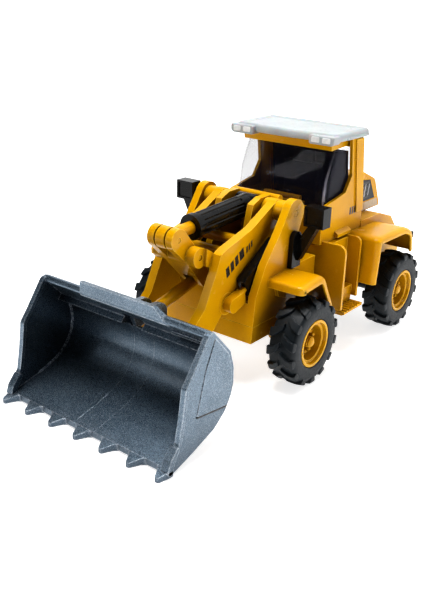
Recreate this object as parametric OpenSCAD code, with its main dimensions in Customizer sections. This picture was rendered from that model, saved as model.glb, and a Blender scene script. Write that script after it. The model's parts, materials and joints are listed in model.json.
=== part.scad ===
// Toy wheel loader, about 1:32, with a working boom, bucket linkage and friction motor.
// Millimetres. +X is the loader's left side, the bucket points to -Y, +Z is up.
// The origin lies on the ground, midway between the bucket teeth and the tail.

/* [Wheels] */
// Diameter over the tread
wheel_d = 50; // [48:0.5:51]
// Width of one tyre
tyre_w = 17; // [15:0.5:17.5]
// Width over the outer faces of the tyres
track_w = 117.2; // [116:0.2:120]
// Distance between the two axles
wheelbase = 108.6; // [107:0.2:110]
// Diameter of the axle shafts
axle_d = 4; // [3.6:0.1:4.2]

/* [Bucket] */
// Width over the two side plates
bucket_w = 114; // [110:1:116]
// Wall thickness of the moulding
bucket_wall = 2; // [1.6:0.1:2.4]
// Number of teeth on the cutting edge
tooth_count = 7; // [5:1:9]
// How far a tooth stands out from the cutting edge
tooth_reach = 8.5; // [6:0.5:8.5]

/* [Boom and tower] */
// Distance between the inner faces of the two arms
arm_gap = 32.5; // [32:0.1:33]
// Thickness of one arm
arm_t = 5.25; // [5:0.05:5.4]
// Diameter of the boom's main pin
boom_pin_d = 4; // [3.6:0.1:4.4]
// Width over the two tower posts
tower_w = 66; // [65:0.5:66]
// Thickness of one tower post
post_t = 4.75; // [4:0.05:4.8]

/* [Cab and body] */
// Width of the cab
cab_w = 69; // [67:0.5:70]
// Width of the upper engine hood
hood_w = 50; // [46:1:54]
// Width of the lower rear body
rear_w = 70; // [69:0.5:70]
// Wall thickness of the body shells
shell_t = 2; // [1.6:0.1:2.2]
// Number of ridges on each step
step_ridges = 6; // [4:1:7]

/* [Hidden] */
$fn = 48;
fit_gap = 0.06;          // radial running clearance of a pin in its bore
seat_gap = 0.02;         // radial clearance of a pin in its seat
side_gap = 0.3;          // clearance between pieces that move past each other
seam = 0.2;              // visible seam between two mouldings

wheel_r = wheel_d / 2;
axle_r = axle_d / 2;
front_axle = [-10, wheel_r];
rear_axle = [front_axle.x + wheelbase, wheel_r];
wheel_out = track_w / 2;
wheel_in = wheel_out - tyre_w;
rim_r = 14;

// Pivots of the boom and the bucket linkage, as [y, z]
boom_pivot = [2, 92];
bucket_pivot = [-78, 31];
crank_pivot = [-58, 77];
crank_top = [-68, 87.5];
crank_foot = [-43, 59];
link_front = [-82, 49.5];
lift_base = [-6, 74];
lift_end = [-44, 49.5];

boom_pin_r = boom_pin_d / 2;
bucket_pin_r = 1.5;
crank_pin_r = 1.6;
eye_pin_r = 1.4;
link_pin_r = 1.3;
front_pin_r = 1;
lift_pin_r = 1.5;

arm_in = arm_gap / 2;
arm_out = arm_in + arm_t;
tower_out = tower_w / 2;
post_in = tower_out - post_t;
cab_out = cab_w / 2;
hood_out = hood_w / 2;
rear_out = rear_w / 2;
belly_top = 35.4;

yellow = "#e09a10";
black = "#1b1c1e";
bucket_blue = "#38404d";
clear_grey = "#c9d4dc80";
roof_white = "#e8ecea";
steel = "#b9bcc0";
grey = "#9a9da0";

// ---------- building blocks ----------

// Extrudes an outline of (y, z) points along X, from x0 to x1
module yz(x0, x1) {
    translate([x0, 0, 0]) rotate([90, 0, 90]) linear_extrude(x1 - x0) children();
}

// Extrudes an outline of (x, z) points along Y, from y0 to y1
module xz(y0, y1) {
    translate([0, y1, 0]) rotate([90, 0, 0]) linear_extrude(y1 - y0) children();
}

// Round bar along X through the point p = [y, z]
module bar_x(p, r, x0, x1) {
    translate([x0, p.x, p.y]) rotate([0, 90, 0]) cylinder(r = r, h = x1 - x0);
}

// Turns a child that points along +Y so that it runs from p towards q, both [y, z]
module along(p, q) {
    translate([0, p.x, p.y]) rotate([atan2(q.y - p.y, q.x - p.x), 0, 0]) children();
}

// Round bar along Y, from y0 to y1
module bar_y(r, y0, y1) {
    translate([0, y0, 0]) rotate([-90, 0, 0]) cylinder(r = r, h = y1 - y0);
}

// Box given by its two corners
module box(a, b) {
    translate(a) cube(b - a);
}

module disc(p, r) {
    translate(p) circle(r = r);
}

// Draws its child on the left for side = 1 and mirrored on the right for side = -1
module on_side(side) {
    if (side > 0) children();
    else mirror([1, 0, 0]) children();
}

module both_sides() {
    for (side = [1, -1]) on_side(side) children();
}

// ---------- tower and front frame ----------

module post_outline() {
    polygon([
        [-3.5, 97.9], [-12.9, 83.9], [-25.5, 68.2], [-33.5, 52.2], [-35.1, belly_top + seam],
        [26, belly_top + seam], [26, 62], [-2, 62], [1, 70], [9.9, 90.7]
    ]);
    disc(boom_pivot, 8);
}

module inner_plate_outline() {
    polygon([
        [-11, 95.6], [-15, 80], [-26, 58], [-26, 39], [9, 39], [9, 93],
        [6, 98.5], [-4, 98.5]
    ]);
}

module front_frame() {
    color(yellow) difference() {
        union() {
            both_sides() {
                yz(post_in, tower_out) post_outline();
                yz(9, 13) inner_plate_outline();
            }
            // front wall, lower beside the lift cylinders, with its central rib
            intersection() {
                yz(-post_in, post_in) polygon([
                    [-35.1, belly_top + seam], [-33.5, 52.2], [-31.3, 52.2], [-32.9, belly_top + seam]
                ]);
                xz(-40, -30) polygon([
                    [-post_in, 30], [-post_in, 48], [-21, 48], [-21, 53],
                    [21, 53], [21, 48], [post_in, 48], [post_in, 30]
                ]);
            }
            yz(-0.8, 0.8) polygon([[-33.6, 51], [-36, 40], [-34.4, 39]]);
            // deck that carries the inner plates
            box([-post_in, -32.9, belly_top + seam], [post_in, 26, 39]);
            // back wall of the tower, with a rounded top bar
            box([-16, 9, 39], [16, 12, 95]);
            bar_x([11, 95.2], 2.8, -16, 16);
            // closing wall and shelf towards the cab
            box([-post_in, 24, 39], [post_in, 26, 62]);
            box([-post_in, 12, 60], [post_in, 24, 62]);
        }
        bar_x(boom_pivot, boom_pin_r + seat_gap, -tower_out - 1, tower_out + 1);
        both_sides() bar_x(lift_base, lift_pin_r + seat_gap, post_in - 1, tower_out + 1);
    }
}

module front_belly() {
    color(yellow) difference() {
        union() {
            difference() {
                yz(-tower_out, tower_out) polygon([
                    [-35.1, belly_top], [-36.3, 26], [26, 26], [26, belly_top]
                ]);
                yz(-tower_out + 3, tower_out - 3) polygon([
                    [-32.6, belly_top + 1], [-33.6, 28], [23.6, 28], [23.6, belly_top + 1]
                ]);
            }
            both_sides() bar_x(front_axle, 5, tower_out - 3, tower_out + 6.3);
        }
        bar_x(front_axle, axle_r + fit_gap, -tower_out - 8, tower_out + 8);
        box([-12.2, -18.2, 20], [12.2, 9.2, 30]);
        for (x = [-22, 22], y = [-26, 16]) translate([x, y, 25]) cylinder(r = 1.1, h = 4);
    }
}

module front_fender(side) {
    color(yellow) on_side(side) {
        yz(tower_out, 55) polygon([
            [-22.4, 59.7], [-20.5, 60.6], [-1, 61.6], [2.4, 60], [13.4, 41.2],
            [10.9, 41.2], [0, 57.4], [-2, 58.8], [-18.6, 57.6], [-20, 55.4], [-22.2, 55.6]
        ]);
        // web that closes the inner side down to the frame
        yz(tower_out, tower_out + 2) polygon([
            [-18, 57.4], [-2, 58.4], [0, 57], [10, 43], [10, 39], [-14, 48]
        ]);
    }
}

module work_light(side) {
    color(black) on_side(side) {
        yz(tower_out + 0.1, tower_out + 3) {
            polygon([[-4.2, 62.1], [4.6, 62.1], [4.6, 76], [-3.6, 79]]);
            disc([0.6, 78.5], 4.2);
        }
        // arm that leans outwards to the lamp
        xz(0.6, 5.4) polygon([[33.1, 66], [36.9, 66], [47.6, 86.9], [42, 86.9], [33.1, 73.5]]);
        difference() {
            box([39.6, -0.6, 86.8], [51.8, 7.4, 98]);
            box([40.8, -1.6, 88], [50.6, 0.2, 96.8]);
        }
    }
}

module boom_pin() {
    color(yellow) bar_x(boom_pivot, boom_pin_r, -tower_out, tower_out);
}

module lift_base_pins() {
    color(yellow) both_sides() bar_x(lift_base, lift_pin_r, arm_out + 1.1, tower_out);
}

// ---------- friction motor on the front axle ----------

flywheel_at = front_axle + [9.5, 0];
flywheel_r = 7;
gear_r = 6.2;
pinion_r = 3.1;

// Toothed wheel about X, with its tooth tips at radius r
module toothed_wheel(p, r, count, x0, x1) {
    yz(x0, x1) translate(p) difference() {
        circle(r = r);
        for (i = [0:count - 1]) rotate(i * 360 / count) translate([r, 0])
            rotate(45) square(r * 0.9 * PI / count, center = true);
    }
}

module motor_case() {
    color(grey) difference() {
        box([-12, -18, 16.6], [12, 9, 33.4]);
        box([-10.8, -16.8, 17.8], [10.8, 7.8, 32.2]);
        bar_x(front_axle, axle_r + fit_gap, -13, 13);
        bar_x(flywheel_at, 1 + fit_gap, -11.5, 11.5);
    }
}

module flywheel() {
    color(steel) {
        bar_x(flywheel_at, 1, -11.4, 11.4);
        bar_x(flywheel_at, flywheel_r, -8, -1);
    }
    color(grey) toothed_wheel(flywheel_at, pinion_r, 10, 2, 7);
}

module axle_gear() {
    color(grey) difference() {
        toothed_wheel(front_axle, gear_r, 20, 2.5, 6.5);
        bar_x(front_axle, axle_r + seat_gap, 0, 8);
    }
}

// ---------- rear body ----------

// Plate across the body at y0, with one rounded upper corner on each side
module cross_plate(y0, y1, x_in, x_out, z0, z1, corner) {
    xz(y0, y1) {
        translate([x_in, z0]) square([x_out - x_in, z1 - z0 - corner]);
        translate([x_in, z0]) square([x_out - x_in - corner, z1 - z0]);
        disc([x_out - corner, z1 - corner], corner);
    }
}

module tail_outline() {
    intersection() {
        polygon([
            [59, 30], [59, 67.8], [77, 67.8], [77, 72.6], [102, 72.6], [120, 67], [136.5, 50], [136.5, 30]
        ]);
        union() {
            disc([106, 42], 30.6);
            translate([59, 30]) square([47, 42.6]);
        }
    }
}

module rear_body() {
    color(yellow) difference() {
        union() {
            // front wall, with a low ridge on each side
            both_sides() {
                cross_plate(30, 32, 0, 50.8, 30, 69.8, 5);
                translate([0, 0, 30]) linear_extrude(37)
                    polygon([[20, 30.5], [27.5, 28.2], [36, 30.5]]);
                // rear wall of the step well
                cross_plate(55.4, 57.2, rear_out - 0.3, 47, 31, 69, 4);
                // ledge above the step
                box([38, 40, 28.5], [43.5, 55.4, 38]);
            }
            // pedestal under the cab
            difference() {
                union() {
                    box([-38, 32, 27], [38, 57.2, 67.8]);
                    box([-rear_out, 57, 27], [rear_out, 59.5, 67.8]);
                }
                box([-36, 31, 26], [36, 57.2, 65.8]);
                box([-rear_out + shell_t, 57, 26], [rear_out - shell_t, 60, 65.8]);
            }
            // lower hood
            difference() {
                yz(-rear_out, rear_out) tail_outline();
                yz(-rear_out + shell_t, rear_out - shell_t) difference() {
                    offset(delta = -shell_t) tail_outline();
                    translate([50, 65.8]) square([29, 6]);
                }
                box([-rear_out + shell_t, 57, 29], [rear_out - shell_t, 134.5, 33]);
            }
        }
        // seat of the cab
        box([-cab_out - 0.1, 29, 67.9], [cab_out + 0.1, 33, 71]);
        // recess for the grille
        box([-20, 134.9, 36], [20, 138, 46]);
    }
}

module rear_chassis() {
    color(black) difference() {
        union() {
            box([-27, 26.2, 20], [27, 128, 26.8]);
            both_sides() bar_x(rear_axle, 5, 27, 39.3);
            box([-27, 61, 26.8], [27, 126, 29.8]);
        }
        bar_x(rear_axle, axle_r + fit_gap, -42, 42);
        box([-20, 36, 22], [20, 86, 31]);
        for (x = [-23.5, 23.5], y = [44, 74, 120]) translate([x, y, 19]) cylinder(r = 1.1, h = 6);
    }
}

module chassis_screws() {
    color(steel) {
        for (x = [-22, 22], y = [-26, 16]) translate([x, y, 25.4]) {
            cylinder(r = 1, h = 2.5);
            cylinder(r = 1.9, h = 0.6);
        }
        for (x = [-23.5, 23.5], y = [44, 74, 120]) translate([x, y, 19.4]) {
            cylinder(r = 1, h = 5);
            cylinder(r = 1.9, h = 0.6);
        }
    }
}

module side_step(side) {
    color(yellow) on_side(side) difference() {
        xz(33, 55.3) polygon([
            [38, 25.6], [50, 25.6], [52, 26.6], [52, 28.4], [38, 28.4]
        ]);
        for (i = [0:step_ridges - 1])
            box([41, 34.5 + i * 20 / step_ridges, 27.6], [53, 36.2 + i * 20 / step_ridges, 29]);
    }
}

module rear_fender(side) {
    color(yellow) on_side(side) {
        yz(rear_out, 57) polygon([
            [57.4, 39.6], [60.3, 66.4], [63.4, 68.8], [99, 68.2], [109.4, 63.2], [112.5, 50],
            [110.3, 50], [107.6, 60.4], [98.4, 64.2], [66, 64], [62.8, 61.4], [59.8, 39.6]
        ]);
    }
}

module hood_outline() {
    polygon([
        [77.2, 72.8], [77.2, 99.5], [80, 100.6], [93.5, 99.6], [110.5, 92.6], [112.4, 90],
        [119.4, 76], [120, 72.8]
    ]);
}

module engine_hood() {
    color(yellow) difference() {
        yz(-hood_out, hood_out) hood_outline();
        yz(-hood_out + shell_t, hood_out - shell_t) difference() {
            offset(delta = -shell_t) hood_outline();
            translate([70, 95]) square([9.2, 10]);
        }
        box([-hood_out + shell_t, 79.2, 72], [hood_out - shell_t, 116.6, 75.5]);
        both_sides() yz(hood_out - 0.6, hood_out + 1) vent_outline(0);
    }
}

module vent_outline(inset) {
    offset(delta = -inset) polygon([[83, 79.4], [83, 95.4], [104.5, 92.6], [112.3, 79.4]]);
}

module hood_vents() {
    color(black) both_sides() difference() {
        yz(hood_out - 0.6, hood_out) vent_outline(0.05);
        for (i = [0:4]) yz(hood_out - 0.3, hood_out + 1)
            polygon([[86, 81 + i * 2.4], [104, 81 + i * 2.4], [104, 82 + i * 2.4], [86, 82 + i * 2.4]]);
    }
}

module radiator_grille() {
    color(black) difference() {
        box([-19.9, 134.9, 36.1], [19.9, 136.3, 45.9]);
        for (i = [0:3]) box([-18, 135.7, 37.4 + i * 2.2], [18, 137, 38.6 + i * 2.2]);
    }
}

module tail_lamps() {
    color(black) both_sides() yz(46, 56)
        polygon([[109.7, 62.4], [110.7, 58.2], [112.5, 58.2], [111.5, 62.4]]);
}

// ---------- cab ----------

module cab_side_outline() {
    polygon([
        [28, 68], [28, 88.4], [31.4, 90.4], [54, 94.6], [60.4, 104], [58.4, 118],
        [57.4, 126], [70, 126], [76.8, 79.6], [76.8, 68]
    ]);
}

module cab_back_outline() {
    polygon([[68, 126], [70, 126], [76.8, 79.6], [76.8, 68], [74.8, 68], [74.8, 79.4]]);
}

module cab_frame() {
    wall_in = cab_out - 2;
    rail_out = cab_out - 3.5;
    color(yellow) {
        both_sides() {
            yz(wall_in, cab_out) cab_side_outline();
            // rear posts, with a raised strip outside
            yz(wall_in - 5, wall_in) cab_back_outline();
            yz(cab_out - 0.5, cab_out + 1) polygon([[60.8, 125.6], [69.6, 125.6], [76.4, 80], [68.4, 80]]);
            // skirt under the cab
            xz(44, 60) polygon([[34, 72.8], [34.9, 72.8], [37.2, 71.2], [37.2, 69.3], [34, 69.3]]);
            // top rails, narrower than the walls
            yz(rail_out - 2.2, rail_out) polygon([[39.4, 121], [38.6, 126], [70, 126], [70, 122.4]]);
        }
        // front wall below the windscreen
        box([-wall_in, 28, 68], [wall_in, 30, 88.4]);
        box([-wall_in, 29, 86.4], [wall_in, 33, 88.4]);
        // band over the windscreen
        yz(-rail_out, rail_out) polygon([[38.6, 126], [39.6, 121], [41.2, 121], [41.2, 126]]);
        // rear wall below and above the rear window
        intersection() {
            yz(-wall_in, wall_in) cab_back_outline();
            union() {
                box([-40, 60, 66], [40, 80, 96]);
                box([-40, 60, 119], [40, 80, 128]);
            }
        }
        box([-wall_in, 30, 68], [wall_in, 74.8, 69.6]);
    }
}

module screen_outline(t) {
    polygon([
        [32.6, 88.6], [34.2, 104], [42, 120.8], [42 + t, 120.8], [34.2 + t, 104], [32.6 + t, 88.6]
    ]);
}

module cab_window() {
    glass_out = cab_out - 2.1;
    color(clear_grey) {
        yz(-glass_out, glass_out) screen_outline(1);
        both_sides() yz(glass_out - 0.9, glass_out) polygon([
            [33, 88.6], [34.4, 104], [42.2, 120.8], [56, 122.6], [60, 118], [62, 104],
            [55.4, 93.2], [33.4, 88.6]
        ]);
    }
}

module roof_plan() {
    polygon([
        [-36, 39], [-36, 73.8], [-34.6, 75.5], [34.6, 75.5], [36, 73.8], [36, 39], [34.5, 34.4], [23, 34.4],
        [12, 33.2], [-12, 33.2], [-23, 34.4], [-34.5, 34.4]
    ]);
}

module roof() {
    color(roof_white) difference() {
        union() {
            translate([0, 0, 126.3]) linear_extrude(3.7) roof_plan();
            translate([0, 0, 130]) linear_extrude(1.2) offset(delta = -2.6) roof_plan();
            // lamp pods under the front corners
            both_sides() box([19.8, 31.2, 124.9], [36, 38.4, 130.4]);
        }
        // hollow underside
        box([-29, 42, 125], [29, 70, 128.2]);
        both_sides() for (x = [21.2, 28.8]) box([x, 30, 126], [x + 6, 31.8, 129.6]);
    }
}

module roof_lamps() {
    color(roof_white) both_sides() for (x = [21.3, 28.9])
        box([x, 31.25, 126.1], [x + 5.8, 31.8, 129.5]);
}

module cab_interior() {
    color(black) {
        box([-31, 31, 69.7], [31, 73, 71.5]);
        yz(-27, 27) polygon([[70, 71.5], [72.6, 71.5], [72.6, 80], [67, 117], [64.6, 117], [70, 80]]);
    }
}

module seat() {
    color(black) {
        box([-11, 44, 71.6], [11, 62, 80]);
        yz(-12, 12) polygon([[57, 80], [66, 80], [63, 108], [58, 108]]);
        yz(-7, 7) polygon([[58.4, 108], [62.6, 108], [61.8, 116], [58.2, 116]]);
    }
}

module dashboard() {
    color(yellow) {
        box([-15, 35, 71.6], [15, 40, 89]);
        bar_x([38, 90.4], 1.9, -13, 13);
    }
}

// ---------- wheels ----------

module axle(p) {
    color(steel) bar_x(p, axle_r, -wheel_out + 3, wheel_out - 3);
}

module rim(p, side) {
    color(yellow) on_side(side) difference() {
        translate([0, p.x, p.y]) rotate([0, 90, 0]) rotate_extrude() polygon([
            [0, wheel_in + 4], [rim_r, wheel_in + 4], [rim_r, wheel_out - 1.2],
            [rim_r - 0.9, wheel_out - 0.3], [rim_r - 1.9, wheel_out - 0.9],
            [rim_r - 3.2, wheel_out - 5.4], [5.2, wheel_out - 6.6], [5, wheel_out - 2.6],
            [3.6, wheel_out - 1.6], [0, wheel_out - 1.6]
        ]);
        bar_x(p, axle_r + seat_gap, wheel_in, wheel_out - 3);
    }
}

module tyre(p, side) {
    color(black) on_side(side) translate([0, p.x, p.y]) rotate([0, 90, 0]) rotate_extrude()
        polygon([
            [rim_r + 0.05, wheel_in + 4], [rim_r + 0.05, wheel_out - 1.4], [rim_r + 3, wheel_out],
            [wheel_r - 4.5, wheel_out - 0.2], [wheel_r - 1, wheel_out - 2], [wheel_r, wheel_out - 4],
            [wheel_r, wheel_in + 4], [wheel_r - 1, wheel_in + 2], [wheel_r - 4.5, wheel_in + 0.2],
            [rim_r + 3, wheel_in]
        ]);
}

// ---------- boom ----------

module arm_outline() {
    polygon([
        [1, 98.4], [-22.8, 86.4], [-46, 80], [-50.1, 78], [-53.6, 69], [-58, 60.5],
        [-62.5, 51.5], [-67.4, 47.2], [-81.2, 34.8], [-82.9, 31], [-81.4, 27.4], [-77.4, 26.05],
        [-68, 28.6], [-54.3, 37.8], [-48, 44.5], [-35.9, 56.5], [-36.1, 61.7], [4, 86.2]
    ]);
    disc(boom_pivot, 6.3);
    disc(bucket_pivot, 5);
    disc(lift_end, 6.5);
}

module arm(side) {
    color(yellow) on_side(side) difference() {
        union() {
            yz(arm_in, arm_out) arm_outline();
            bar_x(boom_pivot, 6, 13 + side_gap, post_in - side_gap);
            // boss that carries the bellcrank, with its web
            bar_x(crank_pivot, 5.5, 9, 14.2);
            yz(10.5, arm_in) polygon([[-55, 81.6], [-50, 78.6], [-50.6, 70], [-55.6, 72.2]]);
        }
        bar_x(boom_pivot, boom_pin_r + fit_gap, 12, 29);
        bar_x(bucket_pivot, bucket_pin_r + fit_gap, arm_in - 1, arm_out + 1);
        bar_x(crank_pivot, crank_pin_r + seat_gap, 8, 15);
        bar_x(lift_end, lift_pin_r + seat_gap, arm_in + 1.2, arm_out + 1);
    }
}

module boom_tubes() {
    color(yellow) {
        bar_x([-33, 73], 3, -arm_in, arm_in);
        bar_x([-26, 79], 3, -arm_in, arm_in);
    }
}

module crank_pin() {
    color(yellow) bar_x(crank_pivot, crank_pin_r, -13.6, 13.6);
}

// ---------- bucket linkage ----------

eye_half = 2.9;          // half width of the tilt rod's eye
lobe_in = 4;             // from the middle to the inner face of a bellcrank lobe

module bellcrank() {
    color(yellow) difference() {
        union() {
            both_sides() yz(lobe_in, 8.4) hull() {
                disc(crank_top, 6);
                disc(crank_pivot, 5);
            }
            bar_x(crank_pivot, 5.2, -8.7, 8.7);
            // shield that narrows towards the foot
            intersection() {
                yz(-8.2, 8.2) hull() {
                    disc(crank_pivot, 5);
                    disc(crank_foot, 4);
                }
                xz(-70, -30) polygon([
                    [-8.2, 84], [8.2, 84], [8.2, 74], [6, 54], [-6, 54], [-8.2, 74]
                ]);
            }
        }
        bar_x(crank_foot, 9.2, -3.3 - side_gap, 3.3 + side_gap);
        bar_x(crank_pivot, crank_pin_r + fit_gap, -9, 9);
        bar_x(crank_top, eye_pin_r + seat_gap, -9, 9);
        bar_x(crank_foot, link_pin_r + seat_gap, -9, 9);
    }
}

module crank_eye_pins() {
    color(yellow) {
        bar_x(crank_top, eye_pin_r, -8.2, 8.2);
        bar_x(crank_foot, link_pin_r, -6.2, 6.2);
    }
}

tilt_length = norm(crank_top - boom_pivot);
tilt_rod_r = 3.5;

module tilt_barrel() {
    color(black) difference() {
        union() {
            bar_x(boom_pivot, 6, -6.2, 6.2);
            along(boom_pivot, crank_top) difference() {
                union() {
                    bar_y(6.5, 2, 51);
                    bar_y(7.2, 48, 51.4);
                }
                // flutes between the long ribs
                for (i = [0:11]) rotate([0, i * 30, 0]) translate([6.9, 10, 0])
                    rotate([-90, 0, 0]) cylinder(r = 1, h = 36);
            }
        }
        along(boom_pivot, crank_top) bar_y(tilt_rod_r + fit_gap, 8, 55);
        bar_x(boom_pivot, boom_pin_r + fit_gap, -8, 8);
    }
}

module tilt_rod() {
    color(yellow) difference() {
        union() {
            along(boom_pivot, crank_top) bar_y(tilt_rod_r, 17, tilt_length - 3);
            bar_x(crank_top, 6, -eye_half, eye_half);
        }
        bar_x(crank_top, eye_pin_r + 0.9, -5, 5);
    }
}

module link() {
    length = norm(link_front - crank_foot);
    color(yellow) difference() {
        union() {
            along(crank_foot, link_front) bar_y(3.3, 2, length - 2);
            for (p = [crank_foot, link_front]) bar_x(p, 3.6, -3.3, 3.3);
        }
        bar_x(crank_foot, link_pin_r + fit_gap, -4, 4);
        bar_x(link_front, front_pin_r + seat_gap, -4, 4);
    }
}

module link_front_pin() {
    color(yellow) bar_x(link_front, front_pin_r, -6.6, 6.6);
}

// ---------- bucket ----------

edge_y = -128;

// Outer outline of the back and floor, closed across the open front
module scoop_outline() {
    polygon([
        [-101, 62.5], [-100, 62.5], [-87, 48.2], [-84, 38.6], [-83.8, 31],
        [-85.6, 24.4], [-90, 17.4], [-98, 11.4], [-114, 5.7], [edge_y, 1.2], [edge_y, 4.2],
        [-128, 20], [-122, 50]
    ]);
}

module side_plate_outline() {
    polygon([
        [-100, 62.5], [-87, 48.2], [-84, 38.6], [-83.8, 31], [-85.6, 24.4], [-90, 17.4],
        [-98, 11.4], [-114, 5.7], [edge_y - 2, 0.8], [edge_y - 4, 3], [-129.7, 8], [-124, 14.5],
        [-121.3, 27.6], [-119.4, 41], [-114.8, 46.7]
    ]);
}

module tooth() {
    reach = tooth_reach;
    rotate([90, 0, 90]) translate([0, 0, -1.1]) linear_extrude(2.2)
        polygon([[1, 0.4], [1, 4.4], [-reach + 1.2, 2.6], [-reach, 1.4], [-reach + 0.6, 0]]);
    difference() {
        linear_extrude(4.2) polygon([
            [-5.6, 1], [5.6, 1], [5.6, 0], [1.1, -reach + 0.8], [-1.1, -reach + 0.8], [-5.6, 0]
        ]);
        // the top slopes down to the tip
        rotate([90, 0, 90]) translate([0, 0, -7]) linear_extrude(14)
            polygon([[1, 4.4], [-reach + 1.2, 2.6], [-reach - 1, 1], [-reach - 1, 6], [1, 6]]);
    }
}

module link_lug_outline() {
    difference() {
        polygon([[-90, 57], [-79, 57], [-75, 53.5], [-75, 46.5], [-79, 43], [-86.5, 41.5], [-90, 50]]);
        hull() for (p = [[1.9, 0.7], [-1.7, 0.7]]) disc(link_front + p, front_pin_r + 1.9);
    }
}

module bucket() {
    half = bucket_w / 2;
    pitch = (bucket_w - 5.4) / (tooth_count - 1);
    color(bucket_blue) difference() {
        union() {
            // back wall and floor
            difference() {
                yz(-half, half) scoop_outline();
                yz(-half - 1, half + 1) difference() {
                    offset(delta = -bucket_wall) scoop_outline();
                    translate([-110, 60.5]) square([30, 4]);
                }
                yz(-half - 1, half + 1) polygon([
                    [-140, 3.6], [edge_y + 3, 4.6], [-114, 20], [-103.4, 60.2], [-103, 70], [-140, 70]
                ]);
            }
            // raised guard on the middle of the top edge
            intersection() {
                yz(-28, 28) polygon([[-101.2, 61], [-98.6, 61], [-102.2, 67.4], [-104.6, 67.4]]);
                xz(-110, -95) polygon([[-28, 58], [28, 58], [28, 63], [25, 68], [-25, 68], [-28, 63]]);
            }
            // side plates
            both_sides() yz(half - 2, half) side_plate_outline();
            // rib along the back wall
            yz(-half + 1, half - 1) polygon([[-87.4, 48.6], [-91.6, 46.4], [-86.4, 41.2]]);
            // teeth, the outer ones cut off level with the side plates
            intersection() {
                for (i = [0:tooth_count - 1])
                    translate([(i - (tooth_count - 1) / 2) * pitch, edge_y, 0]) tooth();
                box([-half, edge_y - 20, -1], [half, edge_y + 5, 10]);
            }
            // hinge lugs beside each arm
            both_sides() for (x = [arm_in - 3, arm_out + side_gap]) yz(x, x + 2.7) {
                disc(bucket_pivot, 4.6);
                polygon([[-78, 35.6], [-85.4, 42], [-86, 22], [-78, 26.4]]);
            }
            // lugs for the link
            both_sides() yz(3.3 + 0.4, 6.6) link_lug_outline();
        }
        both_sides() bar_x(bucket_pivot, bucket_pin_r + seat_gap, arm_in - 4, arm_out + 4);
        // window in the back wall, behind the link
        box([-6, -94, 43], [6, -88.2, 51]);
        box([-3.6, -92, 43], [3.6, -84, 51]);
    }
}

module bucket_pins() {
    color(steel) both_sides() bar_x(bucket_pivot, bucket_pin_r, arm_in - 3, arm_out + 3);
}

// ---------- lift cylinders ----------

lift_in = arm_out + 1.1;
lift_out = post_in - 0.45;
lift_mid = (lift_in + lift_out) / 2;
lift_length = norm(lift_end - lift_base);

module lift_barrel(side) {
    color(black) on_side(side) difference() {
        union() {
            bar_x(lift_base, 5, lift_in, lift_out);
            along(lift_base, lift_end)
                box([lift_in + 0.1, 0, -6], [lift_out - 0.1, lift_length - 12, 6]);
        }
        bar_x(lift_base, lift_pin_r + fit_gap, lift_in - 1, lift_out + 1);
        translate([lift_mid, 0, 0]) along(lift_base, lift_end) bar_y(1.9 + fit_gap, 6, lift_length);
    }
}

module lift_rod(side) {
    color(yellow) on_side(side) {
        difference() {
            union() {
                translate([lift_mid, 0, 0]) along(lift_base, lift_end)
                    bar_y(1.9, 9, lift_length - 3);
                yz(arm_out + 0.4, 27) hull() {
                    disc(lift_end, 4.2);
                    polygon([[-34.2, 48.4], [-35.2, 55.4], [-42, 53.2]]);
                }
            }
            bar_x(lift_end, lift_pin_r + 1.6, arm_out, 25.4);
        }
    }
}

front_frame();
front_belly();
front_fender(1);  // front_fender_left
front_fender(-1);  // front_fender_right
work_light(1);  // work_light_left
work_light(-1);  // work_light_right
boom_pin();
lift_base_pins();
motor_case();
flywheel();
axle_gear();
rear_body();
rear_chassis();
side_step(1);  // side_step_left
side_step(-1);  // side_step_right
rear_fender(1);  // rear_fender_left
rear_fender(-1);  // rear_fender_right
engine_hood();
hood_vents();
radiator_grille();
tail_lamps();
chassis_screws();
cab_frame();
cab_window();
roof();
roof_lamps();
cab_interior();
seat();
dashboard();
axle(front_axle);
rim(front_axle, 1);  // front_rim_left
rim(front_axle, -1);  // front_rim_right
tyre(front_axle, 1);  // front_tyre_left
tyre(front_axle, -1);  // front_tyre_right
axle(rear_axle);
rim(rear_axle, 1);  // rear_rim_left
rim(rear_axle, -1);  // rear_rim_right
tyre(rear_axle, 1);  // rear_tyre_left
tyre(rear_axle, -1);  // rear_tyre_right
arm(1);  // arm_left
arm(-1);  // arm_right
boom_tubes();
crank_pin();
bellcrank();
crank_eye_pins();
tilt_barrel();
tilt_rod();
link();
link_front_pin();
bucket();
bucket_pins();
lift_barrel(1);  // lift_barrel_left
lift_barrel(-1);  // lift_barrel_right
lift_rod(1);  // lift_rod_left
lift_rod(-1);  // lift_rod_right
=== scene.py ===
"""Looks of the toy wheel loader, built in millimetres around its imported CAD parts."""
import json
import math

import bmesh
import bpy
from mathutils import Matrix, Vector


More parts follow.
